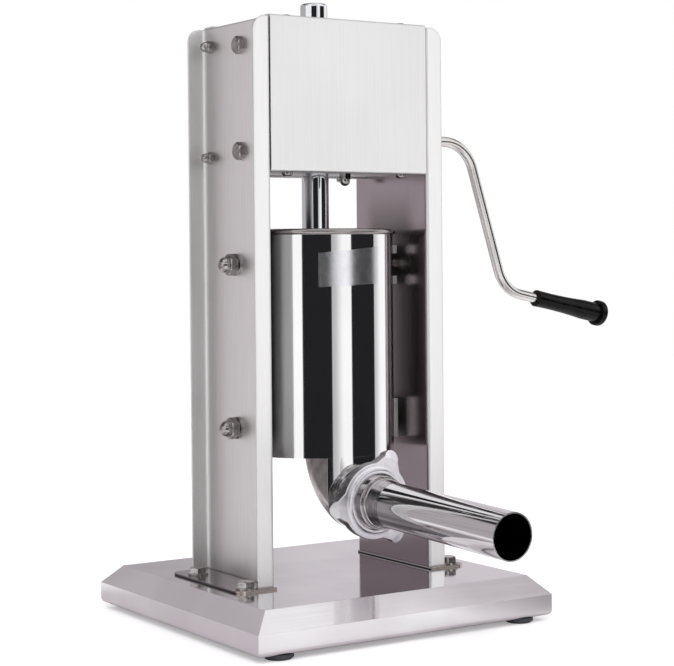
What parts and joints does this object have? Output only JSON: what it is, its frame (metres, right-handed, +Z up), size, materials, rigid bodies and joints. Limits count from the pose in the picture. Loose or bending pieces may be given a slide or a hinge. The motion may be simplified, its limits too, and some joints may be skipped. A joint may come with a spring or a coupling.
{
  "type": "vertical sausage stuffer",
  "caption": "Hand-cranked vertical sausage stuffer: rack-driven piston over a steel barrel between two channel columns, with a stuffing tube and a tray base.",
  "frame": {"origin": "the floor under the piston rod's axis, at the underside of the feet", "axes": "+Z up along the piston rod, -Y to the operator's side with the stuffing tube, +X to the crank's side"},
  "size_m": [0.5205, 0.4307, 0.5632],
  "materials": {
    "brushed_frame_steel": "fine vertical brushing",
    "polished_base_steel": "near mirror, faintly brushed",
    "polished_steel": "polished stainless steel",
    "welded_steel": "polished with hazy weld colour",
    "plate_steel": "milled",
    "gear_steel": "machined, greased",
    "fastener_steel": "bright stainless fasteners",
    "cast_aluminium": "tumbled casting",
    "bush_bronze": "turned sintered bronze",
    "black_rubber": "moulded",
    "silicone": "moulded food silicone",
    "black_plastic": "glossy moulded"
  },
  "bodies": {
    "frame": {"base_tray": "polished_base_steel", "rubber_feet": "black_rubber", "foot_screws": "fastener_steel", "foot_nuts": "fastener_steel", "left_column": "brushed_frame_steel", "right_column": "brushed_frame_steel", "left_side_plate": "plate_steel", "right_side_plate": "plate_steel", "column_foot_plates": "brushed_frame_steel", "base_bolts": "fastener_steel", "base_bolt_washers": "fastener_steel", "base_bolt_nuts": "fastener_steel", "gearbox_front_cover": "brushed_frame_steel", "gearbox_rear_cover": "brushed_frame_steel", "gearbox_floor": "brushed_frame_steel", "gearbox_ceiling": "brushed_frame_steel", "gearbox_bolts": "fastener_steel", "gearbox_studs": "fastener_steel", "gearbox_acorn_nuts": "fastener_steel", "cover_screws": "fastener_steel", "gearbox_frame_screws": "fastener_steel", "crank_shaft_bushes": "bush_bronze", "drive_shaft_bushes": "bush_bronze", "rod_bushes": "welded_steel", "barrel": "polished_steel", "barrel_floor": "polished_steel", "upper_barrel_lugs": "welded_steel", "lower_barrel_lugs": "welded_steel", "barrel_support_pins": "welded_steel", "support_pin_washers": "fastener_steel", "support_pin_cap_nuts": "fastener_steel", "spout_chute": "welded_steel", "outlet_collar": "welded_steel", "tube_gasket": "silicone"},
    "crank": {"crank_shaft": "polished_steel", "crank_pinion": "gear_steel", "crank_pinion_key": "gear_steel", "crank_shaft_clips": "fastener_steel", "crank_hub": "polished_steel", "crank_arm": "polished_steel", "crank_thumb_screw": "polished_steel", "grip_washer": "fastener_steel", "grip_screw": "fastener_steel"},
    "grip": {"crank_grip": "black_plastic", "grip_end_cap": "black_plastic"},
    "drive": {"drive_shaft": "polished_steel", "reduction_gear": "gear_steel", "rack_pinion": "gear_steel", "drive_shaft_keys": "gear_steel", "drive_shaft_clips": "fastener_steel"},
    "rod": {"rack_rod": "polished_steel", "piston_disc": "cast_aluminium", "piston_seal": "silicone", "piston_washer": "fastener_steel", "piston_nut": "fastener_steel", "air_valve_seat": "fastener_steel"},
    "valve": {"air_valve_poppet": "fastener_steel", "air_valve_clip": "fastener_steel"},
    "tube": {"stuffing_tube": "polished_steel"},
    "nut": {"nozzle_nut": "cast_aluminium"}
  },
  "joints": [
    {"name": "crank_turn", "type": "hinge", "parent": "frame", "child": "crank", "pos_m": [0, 0.02, 0.4418], "axis": [1, 0, 0], "range_deg": [0, 3372.27]},
    {"name": "drive_shaft_turn", "type": "hinge", "parent": "frame", "child": "drive", "pos_m": [0, 0.02, 0.4838], "axis": [1, 0, 0], "range_deg": [-1124.09, 0]},
    {"name": "rod_lift", "type": "slide", "parent": "frame", "child": "rod", "axis": [0, 0, 1], "range_m": [0, 0.206]},
    {"name": "grip_spin", "type": "hinge", "parent": "crank", "child": "grip", "pos_m": [0.27642, 0.02, 0.28591], "axis": [0.9789, 0, -0.2045], "continuous": true},
    {"name": "tube_draw", "type": "slide", "parent": "frame", "child": "tube", "axis": [0, -0.9993, -0.0366], "range_m": [0, 0.0036]},
    {"name": "nut_turn", "type": "hinge", "parent": "tube", "child": "nut", "pos_m": [0, -0.08598, 0.11485], "axis": [0, -0.9993, -0.0366], "range_deg": [0, 432]},
    {"name": "valve_lift", "type": "slide", "parent": "rod", "child": "valve", "axis": [0, 0, 1], "range_m": [0, 0.0025]}
  ],
  "couplings": [
    {"joint": "drive_shaft_turn", "follows": "crank_turn", "ratio": -0.33333},
    {"joint": "rod_lift", "follows": "crank_turn", "m_per_rad": 0.0035},
    {"joint": "nut_turn", "follows": "tube_draw", "rad_per_m": 2094.4}
  ]
}
